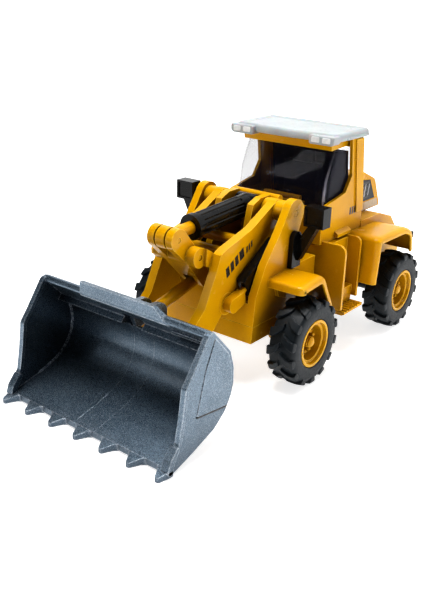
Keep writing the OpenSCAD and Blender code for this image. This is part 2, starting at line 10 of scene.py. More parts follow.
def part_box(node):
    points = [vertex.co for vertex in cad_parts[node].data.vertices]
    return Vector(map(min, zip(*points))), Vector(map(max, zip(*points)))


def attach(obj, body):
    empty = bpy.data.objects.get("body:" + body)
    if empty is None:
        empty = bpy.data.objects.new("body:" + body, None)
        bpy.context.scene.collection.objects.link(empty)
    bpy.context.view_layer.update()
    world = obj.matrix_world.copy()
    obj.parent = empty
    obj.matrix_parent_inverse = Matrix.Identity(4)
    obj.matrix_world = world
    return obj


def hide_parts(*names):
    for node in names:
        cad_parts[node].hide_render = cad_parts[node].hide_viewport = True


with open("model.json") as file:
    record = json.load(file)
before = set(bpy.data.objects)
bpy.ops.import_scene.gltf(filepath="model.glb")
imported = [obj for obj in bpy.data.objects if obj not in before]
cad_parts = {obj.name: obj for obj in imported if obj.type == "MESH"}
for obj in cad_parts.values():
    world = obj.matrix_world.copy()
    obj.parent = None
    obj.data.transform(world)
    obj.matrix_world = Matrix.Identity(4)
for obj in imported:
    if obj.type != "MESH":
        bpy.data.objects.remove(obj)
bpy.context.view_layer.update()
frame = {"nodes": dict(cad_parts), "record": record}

MM = 0.001
SIDES = {"left": 1, "right": -1}
scene = bpy.context.scene


# ---------- camera, light and floor ----------

CAMERA_PLACE = (0.24783, -0.34671, 0.20407)
CAMERA_AZIMUTH, CAMERA_ELEVATION, CAMERA_ROLL = 37.98, 22.01, 1.39
CAMERA_LENS, SENSOR_WIDTH = 45.65, 36

MIDDLE = (0, 0, 0.05)
BRIGHT_SIDE = (0.45, 0.5, 0.74)
WORLD_DIM, WORLD_BRIGHT = 0.04, 0.66

FLOOR_HALF = 14
FLOOR_GLOW = 0.62
BACKDROP_Y = 5
BACKDROP_GLOW = 0.97


def add_camera():
    """Camera in front of the loader's left side, a little rolled."""
    azimuth, elevation, roll = (math.radians(a) for a in (CAMERA_AZIMUTH, CAMERA_ELEVATION, CAMERA_ROLL))
    back = Vector((
        math.sin(azimuth) * math.cos(elevation),
        -math.cos(azimuth) * math.cos(elevation),
        math.sin(elevation),
    ))
    right = Vector((math.cos(azimuth), math.sin(azimuth), 0))
    up = back.cross(right)
    tilted_right = right * math.cos(roll) + up * math.sin(roll)
    tilted_up = up * math.cos(roll) - right * math.sin(roll)
    data = bpy.data.cameras.new("camera")
    data.lens = CAMERA_LENS
    data.sensor_width = SENSOR_WIDTH
    data.clip_start = 0.01
    camera = bpy.data.objects.new("camera", data)
    turn = Matrix((tilted_right, tilted_up, back)).transposed().to_4x4()
    camera.matrix_world = Matrix.Translation(CAMERA_PLACE) @ turn
    scene.collection.objects.link(camera)
    scene.camera = camera


def add_area_light(name, place, size, power):
    """Rectangular lamp turned towards the middle of the loader; size in metres, power in watts."""
    data = bpy.data.lights.new(name, "AREA")
    data.shape = "RECTANGLE"
    data.size, data.size_y = size
    data.energy = power
    light = bpy.data.objects.new(name, data)
    light.location = place
    light.rotation_euler = (Vector(place) - Vector(MIDDLE)).to_track_quat("Z", "Y").to_euler()
    scene.collection.objects.link(light)


def add_world():
    """Soft light all round, brightest from above and behind, as in a studio with a lit backdrop."""
    world = bpy.data.worlds.new("studio")
    world.use_nodes = True
    tree = world.node_tree
    direction = tree.nodes.new("ShaderNodeTexCoord").outputs["Generated"]
    dot = tree.nodes.new("ShaderNodeVectorMath")
    dot.operation = "DOT_PRODUCT"
    dot.inputs[1].default_value = BRIGHT_SIDE
    tree.links.new(direction, dot.inputs[0])
    fade = tree.nodes.new("ShaderNodeMapRange")
    fade.interpolation_type = "SMOOTHSTEP"
    limits = {"From Min": -0.75, "From Max": 0.75, "To Min": WORLD_DIM, "To Max": WORLD_BRIGHT}
    for socket, value in limits.items():
        fade.inputs[socket].default_value = value
    tree.links.new(dot.outputs["Value"], fade.inputs["Value"])
    tree.links.new(fade.outputs["Result"], tree.nodes["Background"].inputs["Strength"])
    scene.world = world


def add_floor():
    """Pale floor with a little light of its own, and a pale wall far behind."""
    half = FLOOR_HALF
    glow = {"Emission_Color": (1, 1, 1, 1)}
    pale = Look("floor", (0.8, 0.8, 0.8), 0.6, Emission_Strength=FLOOR_GLOW, **glow)
    wall = Look("backdrop", (0.1, 0.1, 0.1), 0.9, Emission_Strength=BACKDROP_GLOW, **glow)
    corners = {
        "floor": (pale, [(-half, -half, 0), (half, -half, 0), (half, half, 0), (-half, half, 0)]),
        "backdrop": (wall, [(-half, BACKDROP_Y, 0), (half, BACKDROP_Y, 0),
                            (half, BACKDROP_Y, half), (-half, BACKDROP_Y, half)]),
    }
    for name, (look, points) in corners.items():
        data = bpy.data.meshes.new(name)
        data.from_pydata(points, [], [(0, 1, 2, 3)])
        data.materials.append(look.material)
        obj = bpy.data.objects.new(name, data)
        scene.collection.objects.link(obj)


def add_studio():
    """World light, floor, backdrop, three lamps and the picture's contrast."""
    add_world()
    add_floor()
    add_area_light("softbox_top", (-0.05, -0.05, 0.75), (0.35, 0.35), 5.4)
    add_area_light("softbox_side", (0.8, 0.1, 0.2), (0.2, 0.6), 0.7)
    add_area_light("strip_front", (-0.5, -0.75, 0.5), (0.12, 0.5), 0.5)
    scene.view_settings.view_transform = "Standard"
    scene.view_settings.look = "Medium High Contrast"


# ---------- materials ----------

class Look:
    """A material made of shader nodes round one Principled shader; lengths in its nodes are in metres."""

    def __init__(self, name, colour, roughness, **sockets):
        self.material = bpy.data.materials.new(name)
        self.material.use_nodes = True
        self.tree = self.material.node_tree
        self.shader = self.tree.nodes["Principled BSDF"]
        self.shader.inputs["Base Color"].default_value = (*colour, 1)
        self.shader.inputs["Roughness"].default_value = roughness
        for socket, value in sockets.items():
            self.shader.inputs[socket.replace("_", " ")].default_value = value
        self.place = self.node("ShaderNodeTexCoord").outputs["Object"]
        self.bumps = None

    def node(self, kind, inputs=(), **settings):
        """Adds a node, with its settings, and fills or links its inputs."""
        made = self.tree.nodes.new(kind)
        for key, value in settings.items():
            setattr(made, key, value)
        for key, value in dict(inputs).items():
            self.put(made.inputs[key], value)
        return made

    def put(self, socket, value):
        """Sets a socket to a constant, or links it to another node's output."""
        if isinstance(value, bpy.types.NodeSocket):
            self.tree.links.new(value, socket)
        else:
            socket.default_value = value

    def noise(self, scale, detail):
        inputs = {"Vector": self.place, "Scale": scale, "Detail": detail, "Roughness": 0.55}
        return self.node("ShaderNodeTexNoise", inputs).outputs["Fac"]

    def cells(self, scale, output="Distance"):
        """Small random cells: the distance to each cell's point, or a colour for each cell."""
        inputs = {"Vector": self.place, "Scale": scale}
        return self.node("ShaderNodeTexVoronoi", inputs).outputs[output]

    def ramp(self, value, low, high, to_low=0.0, to_high=1.0):
        """Straight fade from to_low at low to to_high at high."""
        inputs = {"Value": value, "From Min": low, "From Max": high, "To Min": to_low, "To Max": to_high}
        return self.node("ShaderNodeMapRange", inputs).outputs["Result"]

    def math(self, operation, a, b=0.0):
        return self.node("ShaderNodeMath", {0: a, 1: b}, operation=operation).outputs[0]

    def mix(self, factor, a, b):
        """Colour a where the factor is 0 and colour b where it is 1."""
        colour = [(*c, 1) if isinstance(c, tuple) else c for c in (a, b)]
        made = self.node("ShaderNodeMix", data_type="RGBA")
        self.put(made.inputs["Factor"], factor)
        self.put(made.inputs[6], colour[0])
        self.put(made.inputs[7], colour[1])
        return made.outputs[2]

    def edges(self, radius):
        """1 on edges tighter than the radius, in metres, and 0 on flat faces."""
        rounded = self.node("ShaderNodeBevel", {"Radius": radius}, samples=6).outputs["Normal"]
        true = self.node("ShaderNodeNewGeometry").outputs["Normal"]
        dot = self.node("ShaderNodeVectorMath", {0: rounded, 1: true}, operation="DOT_PRODUCT")
        return self.ramp(dot.outputs["Value"], 0.99, 0.82)

    def shelter(self, reach):
        """0 in the open and 1 deep in a corner, measured over a reach in metres."""
        open_sky = self.node("ShaderNodeAmbientOcclusion", {"Distance": reach}, samples=6).outputs["AO"]
        return self.ramp(open_sky, 0.85, 0.25)

    def colour(self, value):
        self.put(self.shader.inputs["Base Color"], value)

    def roughness(self, value):
        self.put(self.shader.inputs["Roughness"], value)

    def bump(self, height, distance, strength):
        """Adds a bump on top of the bumps made before it."""
        inputs = {"Height": height, "Distance": distance, "Strength": strength}
        if self.bumps is not None:
            inputs["Normal"] = self.bumps
        self.bumps = self.node("ShaderNodeBump", inputs).outputs["Normal"]
        self.put(self.shader.inputs["Normal"], self.bumps)


FLAKE_SCALE = 4600      # flakes to the metre


def moulded_plastic(name, deep, plain, bright, roughness):
    """Glossy moulded plastic: slow colour drift, painted shade that darkens its recesses, painted highlights on
    its edges and faint ripples.
    """
    look = Look(name, plain, roughness, Specular_IOR_Level=0.2, Coat_Weight=0.05, Coat_Roughness=0.12)
    drift = look.ramp(look.noise(28, 2), 0.35, 0.65)
    body = look.mix(drift, deep, plain)
    # painted highlight: the bright colour laid in patches along the edges, as if light caught them
    painted_edge_highlight = look.math("MULTIPLY", look.edges(0.0009), look.ramp(look.noise(420, 4), 0.3, 0.6, 0.35, 0.9))
    # painted shade: recesses and corners darkened towards a third of the deep tone
    shaded = look.mix(look.math("MULTIPLY", look.shelter(0.045), 0.9), body, tuple(0.36 * c for c in deep))
    look.colour(look.mix(painted_edge_highlight, shaded, bright))
    look.roughness(look.ramp(look.noise(90, 3), 0.3, 0.7, roughness - 0.06, roughness + 0.08))
    look.bump(look.noise(70, 1), 0.00012, 0.12)
    return look.material


def flake_plastic():
    """Blue-grey lacquer with fine metallic flakes, painted shade that darkens its recesses, and lighter edges,
    partly wear and partly painted highlight.
    """
    look = Look("bucket_flake", (0.05, 0.07, 0.1), 0.36, Metallic=0.8, Coat_Weight=0.25, Coat_Roughness=0.15)
    drift = look.ramp(look.noise(45, 3), 0.3, 0.7)
    body = look.mix(drift, (0.1, 0.148, 0.196), (0.155, 0.215, 0.275))
    flakes = look.cells(FLAKE_SCALE, "Color")
    share = look.node("ShaderNodeSeparateColor", {"Color": flakes}).outputs["Red"]
    body = look.mix(look.ramp(share, 0.8, 1.0, 0.0, 0.65), body, (0.5, 0.56, 0.62))
    body = look.mix(look.ramp(share, 0.0, 0.35, 0.6, 0.0), body, (0.03, 0.04, 0.055))
    # painted shade: recesses and corners darkened to near black-blue
    body = look.mix(look.math("MULTIPLY", look.shelter(0.055), 0.85), body, (0.012, 0.02, 0.032))
    # lighter edges, partly wear and partly painted highlight
    edge_wear_and_highlight = look.math("MULTIPLY", look.edges(0.001), look.ramp(look.noise(900, 5), 0.36, 0.56))
    look.colour(look.mix(look.math("MULTIPLY", edge_wear_and_highlight, 0.85), body, (0.7, 0.74, 0.8)))
    look.roughness(look.ramp(share, 0, 1, 0.24, 0.42))
    look.bump(look.cells(FLAKE_SCALE), 0.00003, 0.5)
    look.bump(look.noise(220, 2), 0.0001, 0.3)
    return look.material


def rubber():
    """Matt rubber with dusty edges and a fine grain."""
    look = Look("tyre_rubber", (0.01, 0.014, 0.018), 0.42, Specular_IOR_Level=0.28)
    drift = look.ramp(look.noise(60, 4), 0.3, 0.7)
    body = look.mix(drift, (0.005, 0.008, 0.011), (0.012, 0.017, 0.021))
    dust = look.math("MULTIPLY", look.edges(0.0008), look.ramp(look.noise(500, 4), 0.35, 0.65))
    look.colour(look.mix(look.math("MULTIPLY", dust, 0.3), body, (0.1, 0.12, 0.13)))
    look.roughness(look.ramp(look.noise(700, 4), 0.3, 0.7, 0.38, 0.6))
    look.bump(look.noise(1800, 4), 0.00005, 0.5)
    return look.material


def black_plastic(name, roughness, shine):
    """Black plastic, scuffed along its edges."""
    look = Look(name, (0.004, 0.004, 0.005), roughness, Specular_IOR_Level=shine)
    drift = look.ramp(look.noise(90, 3), 0.3, 0.7)
    body = look.mix(drift, (0.002, 0.002, 0.0025), (0.006, 0.0065, 0.007))
    scuff = look.math("MULTIPLY", look.edges(0.0005), look.ramp(look.noise(250, 3), 0.4, 0.65))
    look.colour(look.mix(look.math("MULTIPLY", scuff, 0.3), body, (0.07, 0.07, 0.075)))
    look.roughness(look.ramp(look.noise(500, 3), 0.3, 0.7, roughness - 0.06, roughness + 0.1))
    look.bump(look.noise(200, 2), 0.0001, 0.2)
    return look.material


def frosted_white():
    """Milky plastic that lets a little light through."""
    look = Look("roof_frost", (0.64, 0.68, 0.69), 0.3, Subsurface_Weight=0.4, Subsurface_Scale=0.003)
    drift = look.ramp(look.noise(70, 3), 0.3, 0.7)
    look.colour(look.mix(drift, (0.4, 0.43, 0.44), (0.47, 0.5, 0.51)))
    look.roughness(look.ramp(look.noise(600, 4), 0.3, 0.7, 0.25, 0.45))
    look.bump(look.noise(300, 4), 0.00008, 0.5)
    return look.material


def lamp_white():
    """Brighter, smoother white for the roof lamps."""
    look = Look("lamp_white", (0.85, 0.87, 0.86), 0.15, Specular_IOR_Level=0.6)
    look.colour(look.mix(look.ramp(look.noise(300, 2), 0.35, 0.65), (0.78, 0.8, 0.79), (0.92, 0.93, 0.92)))
    return look.material


def clear_glass():
    """Thin clear moulding: it veils what lies behind a little, more where it turns away or bends; where it
    bends round the front corners the veil is a painted glare, pale violet-white.
    """
    look = Look("cab_clear", (0.5, 0.5, 0.6), 0.04, Specular_IOR_Level=0.7)
    rim = look.node("ShaderNodeLayerWeight", {"Blend": 0.3}).outputs["Facing"]
    surface = look.node("ShaderNodeNewGeometry").outputs["Normal"]
    normal = look.node("ShaderNodeSeparateXYZ", {"Vector": surface})
    # mask of the front corners, where the glass bends; it carries the painted glare
    bend = look.math("MULTIPLY", look.math("ABSOLUTE", normal.outputs["X"]),
                     look.math("ABSOLUTE", normal.outputs["Y"]))
    # more veil at grazing angles, and extra veil for the painted glare on the bent corners
    veil = look.math("ADD", look.ramp(rim, 0.2, 1.0, 0.11, 0.45), look.ramp(bend, 0.42, 0.5, 0.0, 0.22))
    look.put(look.shader.inputs["Alpha"], veil)
    # painted glare: pale violet-white on the bent corners, a dark tint elsewhere
    look.colour(look.mix(look.ramp(bend, 0.42, 0.5), (0.05, 0.05, 0.085), (0.75, 0.73, 0.85)))
    look.roughness(look.ramp(look.noise(300, 3), 0.4, 0.8, 0.02, 0.08))
    return look.material


def ink(name, colour, roughness=0.3):
    """Printed ink with a little uneven cover."""
    look = Look(name, colour, roughness)
    faint = tuple(0.8 * c + 0.02 for c in colour)
    look.colour(look.mix(look.ramp(look.noise(500, 3), 0.45, 0.7), colour, faint))
    look.roughness(look.ramp(look.noise(900, 3), 0.3, 0.7, roughness - 0.08, roughness + 0.12))
    return look.material


def steel():
    """Plain drawn steel."""
    look = Look("pin_steel", (0.6, 0.6, 0.61), 0.3, Metallic=1.0)
    drift = look.ramp(look.noise(400, 4), 0.3, 0.7)
    look.colour(look.mix(drift, (0.5, 0.5, 0.51), (0.68, 0.68, 0.69)))
    look.roughness(look.ramp(look.noise(900, 3), 0.3, 0.7, 0.22, 0.4))
    return look.material


def grey_plastic():
    """Matt grey plastic with a fine grain."""
    look = Look("grey_plastic", (0.5, 0.51, 0.52), 0.45)
    drift = look.ramp(look.noise(120, 3), 0.3, 0.7)
    look.colour(look.mix(drift, (0.44, 0.45, 0.46), (0.56, 0.57, 0.58)))
    look.bump(look.noise(1200, 3), 0.00005, 0.4)
    return look.material


# ---------- meshes ----------

def span(side, inner, outer):
    """Two distances from the loader's middle as x values on one side, the lower first."""
    return sorted((side * inner, side * outer))


def skin(bm, rings):
    """Joins closed rings of vertices one after another, and closes both ends."""
    made = [bm.faces.new(rings[0]), bm.faces.new(rings[-1][::-1])]
    for a, b in zip(rings, rings[1:]):
        for i in range(len(a)):
            j = (i + 1) % len(a)
            made.append(bm.faces.new((a[i], b[i], b[j], a[j])))
    bmesh.ops.recalc_face_normals(bm, faces=made)


def add_prism(bm, outline, low, high, axis="x"):
    """Closed prism from low to high: (y, z) points along X, or (x, z) points along Y."""
    rings = []
    for t in (low, high):
        rings.append([bm.verts.new((t, a, b) if axis == "x" else (a, t, b)) for a, b in outline])
    skin(bm, rings)
    return rings


def add_ring(bm, profile, segments):
    """Solid of revolution about X, from a closed profile of (x, radius) points."""
    made = []
    rings = []
    for i in range(segments):
        angle = 2 * math.pi * i / segments
        y, z = math.sin(angle), math.cos(angle)
        rings.append([bm.verts.new((x, r * y, r * z)) for x, r in profile])
    for i in range(segments):
        a, b = rings[i], rings[(i + 1) % segments]
        for j in range(len(profile)):
            k = (j + 1) % len(profile)
            made.append(bm.faces.new((a[j], a[k], b[k], b[j])))
    bmesh.ops.recalc_face_normals(bm, faces=made)


def rounded(points, radius, steps):
    """The closed outline with its corners rounded; radius may be one value or one for each point."""
    out = []
    count = len(points)
    radii = radius if isinstance(radius, (list, tuple)) else [radius] * count
    for i, (point, r) in enumerate(zip(points, radii)):
        p = Vector(point)
        before, after = Vector(points[i - 1]) - p, Vector(points[(i + 1) % count]) - p
        reach = min(r, before.length * 0.45, after.length * 0.45)
        if reach < 1e-6:
            out.append(tuple(p))
            continue
        a, b = p + before.normalized() * reach, p + after.normalized() * reach
        for s in range(steps + 1):
            t = s / steps
            out.append(tuple(a * (1 - t) ** 2 + p * 2 * t * (1 - t) + b * t ** 2))
    return out


def piece(name, bm, slot, body, replaces=(), look=None, bevel=0.0, segments=2, angle=35):
    """Turns a mesh in millimetres into a piece in metres, with the look of its slot or one of its own."""
    bm.transform(Matrix.Scale(MM, 4))
    data = bpy.data.meshes.new(name)
    bm.to_mesh(data)
    bm.free()
    data.shade_smooth()
    data.materials.append(look or LOOKS[slot])
    obj = bpy.data.objects.new(name, data)
    scene.collection.objects.link(obj)
    if bevel:
        round_edges(obj, bevel, segments, angle)
    else:
        data.set_sharp_from_angle(angle=math.radians(angle))
    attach(obj, body)
    if replaces:
        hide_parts(*replaces)
    return obj


def round_edges(obj, width, segments=2, angle=35):
    """Rounds the edges sharper than an angle, with a width in millimetres."""
    bevel = obj.modifiers.new("rounded", "BEVEL")
    bevel.width = width * MM
    bevel.segments = segments
    bevel.limit_method = "ANGLE"
    bevel.angle_limit = math.radians(angle)
    bevel.use_clamp_overlap = True
    bevel.harden_normals = False
    weighted = obj.modifiers.new("shading", "WEIGHTED_NORMAL")
    weighted.keep_sharp = False


# ---------- wheels ----------

LUGS = 14                # on each shoulder of a tyre
TYRE_R = 25.0
TYRE_HALF = 8.5          # half its width
LUG_ROOT_R = 22.4        # just inside the tread
CROWN_FLAT = 4.0         # half width of the level part of the tread
CROWN_DROP = 0.9         # how far the tread has fallen at its edge
STUDS = 8
STUD_CIRCLE_R = 6.0


def crown(x):
    """Radius of the tops of the lugs at x from the tyre's middle."""
    return TYRE_R - CROWN_DROP * max(0.0, (abs(x) - CROWN_FLAT) / (TYRE_HALF - CROWN_FLAT)) ** 2


def wheel_point(x, radius, angle):
    """Point at an angle, in radians, round the X axis."""
    return (x, radius * math.sin(angle), radius * math.cos(angle))


def add_lug(bm, start, side):
    """One lug: it climbs the shoulder, runs inwards, then bends forward towards the middle of the tread."""
    path = [(8.3, 0.0, 2.5), (6.9, 0.1, 2.4), (4.6, 1.0, 2.2), (2.3, 2.8, 2.0), (0.3, 4.8, 1.7)]
    rings = []
    for x, shift, half_width in path:
        ring = []
        for across, top in ((-1, False), (-1, True), (1, True), (1, False)):
            width = half_width * (1.0 if top else 1.2)
            along = (shift + across * width) / TYRE_R
            radius = crown(x) if top else LUG_ROOT_R
            ring.append(bm.verts.new(wheel_point(side * x, radius, start + along)))
        rings.append(ring)
    foot = []
    for across, radius, out in ((-1, 20.6, -0.7), (-1, 21.2, 0.05), (1, 21.2, 0.05), (1, 20.6, -0.7)):
        angle = start + across * 2.0 / TYRE_R
        foot.append(bm.verts.new(wheel_point(side * (TYRE_HALF + out), radius, angle)))
    rings.insert(0, foot)
    skin(bm, rings)


def add_stud(bm, foot, side, radius, height, segments=16):
    """Round stud with a domed head, standing along X on the point foot."""
    profile = [(0.0, radius), (height * 0.55, radius), (height * 0.85, radius * 0.75), (height, radius * 0.35)]
    rings = []
    for x, r in profile:
        ring = []
        for i in range(segments):
            angle = 2 * math.pi * i / segments
            y, z = foot[1] + r * math.cos(angle), foot[2] + r * math.sin(angle)
            ring.append(bm.verts.new((foot[0] + side * x, y, z)))
        rings.append(ring)
    skin(bm, rings)


def add_wheel(end, side_name):
    """Tyre with chevron lugs and a dished rim with studs, each in place of its CAD node."""
    side = SIDES[side_name]
    body = f"{end}_axle_set"
    tyre_node, rim_node = f"{end}_tyre_{side_name}", f"{end}_rim_{side_name}"
    low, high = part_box(tyre_node)
    centre = Matrix.Translation((low + high) / 2 / MM)
    carcass = [
        (-8.0, 14.1), (-8.35, 15.0), (-8.5, 17.5), (-8.4, 20.0), (-7.9, 21.9), (-6.6, 22.9), (0.0, 23.4),
        (6.6, 22.9), (7.9, 21.9), (8.4, 20.0), (8.5, 17.5), (8.35, 15.0), (8.0, 14.1),
    ]
    bm = bmesh.new()
    add_ring(bm, carcass, 120)
    pitch = 2 * math.pi / LUGS
    for i in range(LUGS):
        add_lug(bm, i * pitch, 1)
        add_lug(bm, (i + 0.5) * pitch, -1)
    bm.transform(centre)
    piece(tyre_node + "_tread", bm, "tyre_rubber", body, [tyre_node], bevel=0.35, angle=40)

    dish = [
        (-4.5, 2.0), (-4.5, 13.98), (7.3, 13.98), (8.1, 13.6), (8.3, 12.9), (8.1, 12.2), (7.2, 11.8),
        (6.2, 11.6), (5.9, 11.2), (6.1, 10.7), (5.8, 10.2), (2.4, 9.6), (1.2, 9.0), (0.8, 8.0), (0.8, 3.6),
        (1.2, 3.4), (4.4, 3.2), (4.6, 2.9), (4.6, 2.05),
    ]
    bm = bmesh.new()
    add_ring(bm, [(side * x, r) for x, r in dish], 96)
    for i in range(STUDS):
        angle = 2 * math.pi * (i + 0.5) / STUDS
        add_stud(bm, wheel_point(side * 0.7, STUD_CIRCLE_R, angle), side, 1.5, 3.0)
    add_stud(bm, (side * 4.0, 0, 0), side, 3.1, 2.6, 32)
    bm.transform(centre)
    piece(rim_node + "_dish", bm, "yellow_plastic", body, [rim_node], angle=38)


# ---------- bucket ----------

BUCKET_HALF = 57.0
PLATE_HALF = BUCKET_HALF - 1.5       # the shell ends inside the side plates
WINDOW_HALF = 7.0                    # the window in the shell behind the link
WINDOW_LOW, WINDOW_HIGH = 43.0, 52.5
BUCKET_FIELD_X = 57.35               # outer face of the raised field on a side plate
WALL = 2.0
EDGE_Y = -128.0
TEETH = 7
TOOTH_PITCH = (2 * BUCKET_HALF - 5.4) / (TEETH - 1)
SHELL_BACK = [(-100.6, 62.4), (-93.6, 55.2), (-87.0, 48.0)]
SHELL_BOWL = [
    (-87.0, 48.0), (-84.1, 39.0), (-83.8, 31.0), (-85.6, 24.4), (-90.0, 17.4), (-98.0, 11.2), (-113.0, 5.6),
    (-128.6, 0.9),
]
SHELL_INSIDE_TOP = [(-103.2, 60.6), (-96.4, 53.6), (-92.4, 49.6), (-95.2, 46.8), (-89.6, 45.0)]
SHELL_INSIDE_END = (-129.4, 4.1)


def smooth(points, steps):
    """Catmull-Rom curve through open points."""
    out = []
    for i in range(len(points) - 1):
        a, b, c, d = (Vector(points[max(0, min(len(points) - 1, i + k))]) for k in (-1, 0, 1, 2))
        for s in range(steps):
            t = s / steps
            bend = (2 * a - 5 * b + 4 * c - d) * t * t + (3 * b - a - 3 * c + d) * t ** 3
            out.append(tuple(0.5 * (2 * b + (c - a) * t + bend)))
    return out + [tuple(points[-1])]


def offset_path(points, distance):
    """Open path moved sideways, to the right of its direction."""
    out = []
    for i, point in enumerate(points):
        along = Vector(points[min(i + 1, len(points) - 1)]) - Vector(points[max(i - 1, 0)])
        along.normalize()
        out.append((point[0] + along.y * distance, point[1] - along.x * distance))
    return out


def add_tooth(bm, x):
    """Blunt arrowhead whose top falls towards the tip, cut off level with the side plates."""
    plan = [
        (-5.8, 0.4), (5.8, 0.4), (5.6, -1.4), (3.9, -2.6), (1.5, -7.5), (0.8, -8.4), (-0.8, -8.4), (-1.5, -7.5),
        (-3.9, -2.6), (-5.6, -1.4),
    ]
    rings = []
    for top in (False, True):
        ring = []
        for a, b in plan:
            z = (4.35 + 0.2 * min(b, 0.0)) if top else 0.05
            ring.append(bm.verts.new((min(max(x + a, -BUCKET_HALF), BUCKET_HALF), EDGE_Y + b, z)))
        rings.append(ring)
    skin(bm, rings)


def add_bucket_wall(bm):
    """The curved shell in three lengths, with a window in the middle one, and a bead along its ends."""
    bowl = smooth(SHELL_BOWL, 6)
    outer = SHELL_BACK + bowl[1:]
    inner = SHELL_INSIDE_TOP + offset_path(bowl[4:-7], WALL) + [SHELL_INSIDE_END]
    curve = inner[len(SHELL_INSIDE_TOP):]
    for low, high in ((-PLATE_HALF, -WINDOW_HALF), (WINDOW_HALF, PLATE_HALF)):
        add_prism(bm, outer + inner[::-1], low, high)
    above = [p for p in outer if p[1] > WINDOW_HIGH + 0.1] + [(-91.1, WINDOW_HIGH)]
    above += [(-95.3, WINDOW_HIGH)] + SHELL_INSIDE_TOP[1::-1]
    below = [(-85.3, WINDOW_LOW)] + [p for p in outer if p[1] < WINDOW_LOW]
    below += [p for p in curve if p[1] < WINDOW_LOW][::-1] + [(-87.6, WINDOW_LOW)]
    for outline in (above, below):
        add_prism(bm, outline, -WINDOW_HALF - 0.1, WINDOW_HALF + 0.1)
    add_prism(bm, [(-124.5, 1.4), (-124.5, 4.3), (-129.6, 4.05), (-129.6, 0.7)], -PLATE_HALF, PLATE_HALF)
    for i in range(TEETH):
        add_tooth(bm, (i - (TEETH - 1) / 2) * TOOTH_PITCH)
    bead = curve[:-1]
    for side in SIDES.values():
        add_prism(bm, bead + offset_path(bead, 0.7)[::-1], *span(side, 54.4, PLATE_HALF))


def add_bucket_top(bm):
    """Top rim, the leaning guard on it and two ridges inside."""
    rim = [(-100.2, 62.8), (-99.4, 61.2), (-101.2, 59.0), (-103.8, 59.6), (-103.8, 61.4), (-102.2, 62.9)]
    add_prism(bm, rounded(rim, 0.8, 3), -PLATE_HALF, PLATE_HALF)
    guard = [(-28, 59.0), (-26.4, 67.2), (24.0, 67.2), (29.5, 61.6), (33, 59.0)]
    foot_z, rise = 60.0, 7.2
    front_face, rear_face = add_prism(bm, guard, 0.0, 1.0, "y")
    for verts, foot_y, top_y in ((front_face, -103.6, -104.9), (rear_face, -99.2, -102.4)):
        for vert in verts:
            vert.co.y = foot_y + (top_y - foot_y) * ((vert.co.z - foot_z) / rise)
    for x, length, y, z in ((30.0, 24.0, -98.3, 54.7), (28.0, 26.0, -95.6, 52.0)):
        ridge = [(y - 0.9, z), (y, z + 0.9), (y + 0.9, z + 0.3), (y + 0.2, z - 0.9)]
        add_prism(bm, ridge, x, x + length)


def add_bucket_sides(bm):
    """Side plates, each with a thicker front edge, a raised field outside and a cutter tab at the foot."""
    plate = [
        (-100.4, 62.7), (-86.9, 48.3), (-84.0, 38.8), (-83.8, 31), (-85.6, 24.4), (-90, 17.3), (-98, 11.2),
        (-114, 5.5), (-129.8, 0.7), (-132, 3), (-129.7, 8), (-124, 14.5), (-121.3, 27.6), (-119.4, 41),
        (-114.8, 46.9), (-104.4, 61.6),
    ]
    front = [
        (-100.6, 62.7), (-104.4, 61.8), (-115.0, 46.9), (-119.7, 41), (-121.6, 27.6), (-124.2, 14.6),
        (-130, 8), (-131.2, 4), (-128.4, 7.4), (-122.4, 14.2), (-119.6, 27.6), (-117.4, 40.6),
        (-113.2, 45.8), (-102.6, 60.4),
    ]
    field = [
        (-99.0, 58.8), (-88.6, 47.4), (-86.0, 38.4), (-85.8, 31), (-87.4, 25.4), (-89.3, 20.4), (-111.6, 23.6),
        (-105.8, 44.7),
    ]
    tab = [(-132.2, 3.4), (-130.4, 8.4), (-125.6, 13.8), (-123.4, 12.6), (-127.2, 6.4), (-128.2, 3.4)]
    layers = ((plate, 55.2, 57.0), (front, 54.4, 57.4), (field, 56.5, BUCKET_FIELD_X), (tab, 53.0, 57.5))
    for side in SIDES.values():
        for outline, inner, outer in layers:
            add_prism(bm, rounded(outline, 0.8, 2), *span(side, inner, outer))


def add_bucket_lugs(bm):
    """Hinge lugs on both sides of each arm, and two lugs for the link."""
    hinge = [
        (-85.6, 41), (-78, 35.6), (-74.4, 33.8), (-73.4, 31), (-74.4, 28), (-77, 26.5), (-87, 22), (-84.8, 31),
    ]
    lug = [(-91, 57.6), (-79, 57), (-75, 53.5), (-75, 46.5), (-79, 43), (-86.5, 41.5), (-90, 50)]
    for side in SIDES.values():
        for x in (13.25, 21.8):
            add_prism(bm, rounded(hinge, 2, 3), *span(side, x, x + 2.7))
        add_prism(bm, rounded(lug, 2.5, 4), *span(side, 3.7, 6.6))


def add_bucket():
    bm = bmesh.new()
    for add_part in (add_bucket_wall, add_bucket_top, add_bucket_sides, add_bucket_lugs):
        add_part(bm)
    piece("bucket_shell", bm, "bucket_plastic", "bucket", ["bucket"], bevel=0.4, segments=3, angle=32)


# ---------- cab ----------

def add_window():
    """Windscreen and side panes in one thin moulding, wrapped round the front corners."""
    levels = [(88.7, 32.9), (96.0, 33.5), (104.0, 34.6), (112.5, 38.2), (120.7, 42.4)]
    half, thick, bend, rear = 32.2, 0.8, 6.0, 60.0
    bm = bmesh.new()
    rings = []
    for z, front in levels:
        ring = []
        for inset, order in ((0, 1), (thick, -1)):
            x, y = half - inset, front + inset
            radius = bend - (1 if inset else 0)
            ring += rounded([(-x, rear), (-x, y), (x, y), (x, rear)], [0, radius, radius, 0], 8)[::order]
        rings.append([bm.verts.new((x, y, z)) for x, y in ring])
    skin(bm, rings)
    piece("cab_glass", bm, "clear_plastic", "chassis", ["cab_window"], angle=50)


